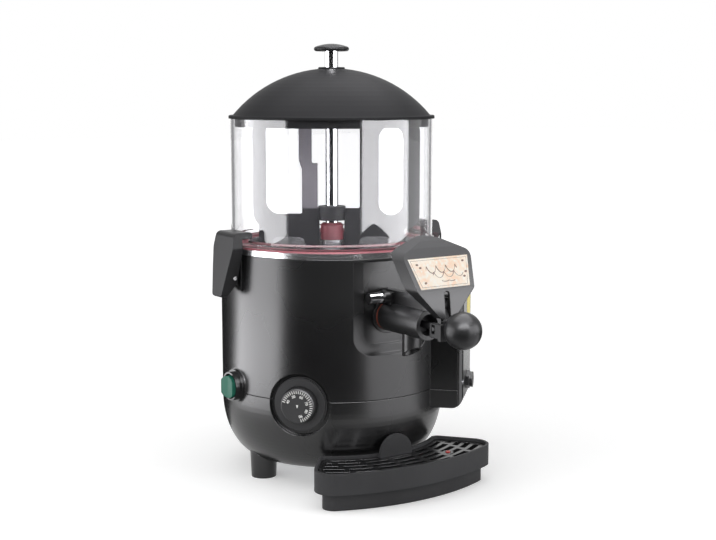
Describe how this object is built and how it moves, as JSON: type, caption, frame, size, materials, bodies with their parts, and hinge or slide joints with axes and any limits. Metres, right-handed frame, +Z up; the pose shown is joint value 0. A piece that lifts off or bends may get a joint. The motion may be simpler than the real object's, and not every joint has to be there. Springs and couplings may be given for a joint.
{
  "type": "hot chocolate dispenser",
  "caption": "Countertop hot chocolate dispenser with heated bowl, clear container, stirring paddle, lift-lever tap, thermostat and drip tray.",
  "frame": {"origin": "on the table plane under the centre of the round housing, level with the undersides of the feet", "axes": "+Z up along the paddle's axis, -Y towards the tap and the person who serves, +X to the machine's right as seen from the front"},
  "size_m": [0.287, 0.3713, 0.4643],
  "materials": {
    "housing_black": "satin moulded plastic",
    "feet_black": "satin moulded plastic",
    "zinc_steel": "zinc plated sheet",
    "screw_steel": "bright plated",
    "gland_black": "matt moulded nylon",
    "board_green": "solder mask",
    "stainless": "polished stainless sheet",
    "heater_steel": "dull heater sheath",
    "silicone_red": "matt silicone",
    "column_chrome": "mirror bright",
    "bush_ivory": "plain acetal",
    "motor_grey": "painted gear case",
    "paddle_black": "satin moulded plastic",
    "clear_plastic": "clear polished polycarbonate",
    "lid_black": "satin moulded plastic",
    "latch_black": "satin moulded plastic",
    "dial_black": "fine matt plastic with white figures",
    "thermostat_case": "phenolic case",
    "switch_black": "glossy moulded plastic",
    "rocker_green": "translucent tinted plastic",
    "tap_black": "satin moulded plastic",
    "label_cream": "printed plate under a clear film",
    "tray_black": "satin moulded plastic",
    "float_red": "glossy moulded plastic"
  },
  "bodies": {
    "housing_body": {"upper_housing": "housing_black", "lower_housing": "housing_black", "base_plate": "zinc_steel", "base_screws": "screw_steel", "foot_front": "feet_black", "foot_right": "feet_black", "foot_rear": "feet_black", "foot_left": "feet_black", "control_box_cover": "housing_black", "cover_screws": "screw_steel", "cable_gland": "gland_black", "control_board": "board_green", "chocolate_bowl": "stainless", "water_tank": "stainless", "heating_element": "heater_steel", "bowl_gasket": "silicone_red", "column_tube": "column_chrome", "column_seal": "silicone_red", "shaft_bushes": "bush_ivory", "gearmotor": "motor_grey", "motor_bracket": "zinc_steel", "container": "clear_plastic", "latch_bracket_left": "latch_black", "latch_bracket_right": "latch_black", "latch_pin_left": "screw_steel", "latch_pin_right": "screw_steel", "thermostat_body": "thermostat_case", "thermostat_bezel": "housing_black", "switch_body": "thermostat_case", "switch_bezel": "switch_black", "tap_socket": "tap_black", "tap_seal": "silicone_red", "tap_body": "tap_black", "lever_pin": "screw_steel", "tap_shield": "tap_black", "shield_screws": "screw_steel", "label_plate": "label_cream"},
    "lid_body": {"lid": "lid_black", "lid_knob_stem": "column_chrome", "lid_knob_cap": "lid_black", "lid_knob_nut": "screw_steel"},
    "paddle_body": {"drive_shaft": "column_chrome", "shaft_coupling": "screw_steel", "stirring_paddle": "paddle_black", "paddle_nut": "screw_steel"},
    "latch_left_body": {"latch_left": "latch_black", "latch_pad_left": "silicone_red"},
    "latch_right_body": {"latch_right": "latch_black", "latch_pad_right": "silicone_red"},
    "dial_body": {"thermostat_spindle": "screw_steel", "thermostat_dial": "dial_black"},
    "rocker_body": {"switch_rocker": "rocker_green"},
    "lever_body": {"tap_lever": "tap_black", "lever_knob": "tap_black"},
    "piston_body": {"tap_piston": "bush_ivory", "valve_plug": "silicone_red"},
    "tap_pin_body": {"tap_pin": "column_chrome"},
    "tray_body": {"drip_tray": "tray_black"},
    "grille_body": {"drip_grille": "tray_black"},
    "float_body": {"float_indicator": "float_red"}
  },
  "joints": [
    {"name": "lid_lift", "type": "slide", "parent": "housing_body", "child": "lid_body", "axis": [0, 0, 1], "range_m": [0, 0.12]},
    {"name": "paddle_turn", "type": "hinge", "parent": "housing_body", "child": "paddle_body", "pos_m": [0, 0, 0.3], "axis": [0, 0, 1], "continuous": true},
    {"name": "latch_left_open", "type": "hinge", "parent": "housing_body", "child": "latch_left_body", "pos_m": [-0.129, 0, 0.221], "axis": [0, -1, 0], "range_deg": [0, 18], "stiffness_Nm_per_rad": 0.4, "springref_deg": -5.73},
    {"name": "latch_right_open", "type": "hinge", "parent": "housing_body", "child": "latch_right_body", "pos_m": [0.129, 0, 0.221], "axis": [0, 1, 0], "range_deg": [0, 18], "stiffness_Nm_per_rad": 0.4, "springref_deg": -5.73},
    {"name": "dial_turn", "type": "hinge", "parent": "housing_body", "child": "dial_body", "pos_m": [-0.09125, -0.07793, 0.094], "axis": [0.7604, 0.6494, 0], "range_deg": [0, 270]},
    {"name": "rocker_tip", "type": "hinge", "parent": "housing_body", "child": "rocker_body", "pos_m": [-0.1195, 0, 0.104], "axis": [0, 0, -1], "range_deg": [0, 18]},
    {"name": "lever_lift", "type": "hinge", "parent": "housing_body", "child": "lever_body", "pos_m": [0, -0.196, 0.206], "axis": [-1, 0, 0], "range_deg": [0, 26]},
    {"name": "piston_slide", "type": "slide", "parent": "housing_body", "child": "piston_body", "axis": [0, -1, 0], "range_m": [0, 0.0112]},
    {"name": "tap_pin_pull", "type": "slide", "parent": "housing_body", "child": "tap_pin_body", "axis": [-1, 0, 0], "range_m": [0, 0.045]},
    {"name": "tray_pull", "type": "slide", "parent": "housing_body", "child": "tray_body", "axis": [0, -1, 0], "range_m": [0, 0.09]},
    {"name": "grille_lift", "type": "slide", "parent": "tray_body", "child": "grille_body", "axis": [0, 0, 1], "range_m": [0, 0.005]},
    {"name": "float_rise", "type": "slide", "parent": "tray_body", "child": "float_body", "axis": [0, 0, 1], "range_m": [0, 0.006]}
  ],
  "couplings": [
    {"joint": "piston_slide", "follows": "lever_lift", "m_per_rad": 0.0243}
  ]
}
